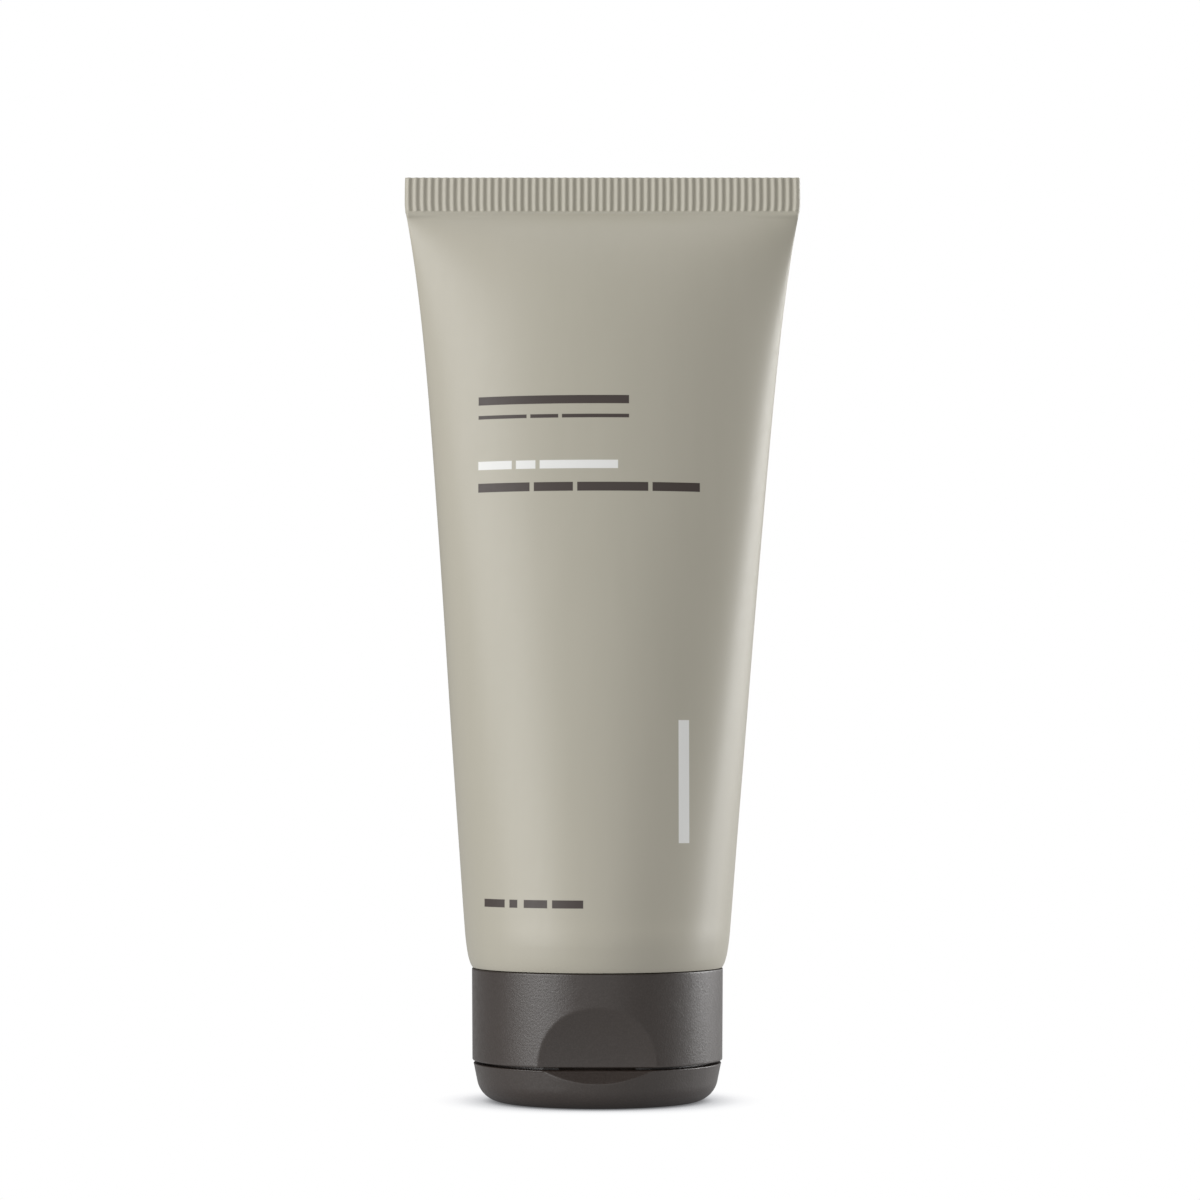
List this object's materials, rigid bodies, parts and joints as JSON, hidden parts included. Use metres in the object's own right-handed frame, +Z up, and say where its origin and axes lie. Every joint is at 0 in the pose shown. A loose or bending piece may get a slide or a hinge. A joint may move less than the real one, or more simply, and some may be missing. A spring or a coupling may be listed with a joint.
{
  "type": "squeezable cosmetic tube with flip-top cap",
  "caption": "Squeezable shaving cream tube standing on its dark flip-top cap, with a flat ribbed crimp at the top end.",
  "frame": {"origin": "centre of the closed lid's flat foot, on the surface the tube stands on", "axes": "+Z up along the tube's axis, -Y towards the printed front with the thumb scoop, +Y towards the hinge, X along the crimped seal"},
  "size_m": [0.0766, 0.0504, 0.1776],
  "materials": {
    "sleeve_plastic": "satin polyethylene sleeve in warm silver grey, fine even grain, soft broad highlights",
    "shoulder_plastic": "moulded polyethylene, satin, same warm grey as the sleeve",
    "foil": "thin peelable aluminium foil, lightly embossed",
    "cream": "thick white cream",
    "cap_plastic": "satin dark warm brown-black polypropylene"
  },
  "bodies": {
    "cap": {"cap_base": "cap_plastic", "hinge_web_left": "cap_plastic", "hinge_web_right": "cap_plastic", "hinge_web_centre": "cap_plastic"},
    "lid": {"flip_lid": "cap_plastic"},
    "foil": {"foil_seal": "foil"},
    "tube": {"tube_sleeve": "sleeve_plastic", "tube_shoulder": "shoulder_plastic", "shaving_cream": "cream"}
  },
  "joints": [
    {"name": "lid_hinge", "type": "hinge", "parent": "cap", "child": "lid", "pos_m": [0, 0.0222, 0.0076], "axis": [1, 0, 0], "range_deg": [0, 140], "deforming": ["hinge_web_left", "hinge_web_right", "hinge_web_centre"]},
    {"name": "tube_lift", "type": "slide", "parent": "cap", "child": "foil", "axis": [0, 0, 1], "range_m": [0, 0.0127]},
    {"name": "tube_unscrew", "type": "hinge", "parent": "foil", "child": "tube", "pos_m": [0, 0, 0.0115], "axis": [0, 0, 1], "range_deg": [0, 1440]}
  ],
  "couplings": [
    {"joint": "tube_lift", "follows": "tube_unscrew", "m_per_rad": 0.00050532}
  ]
}
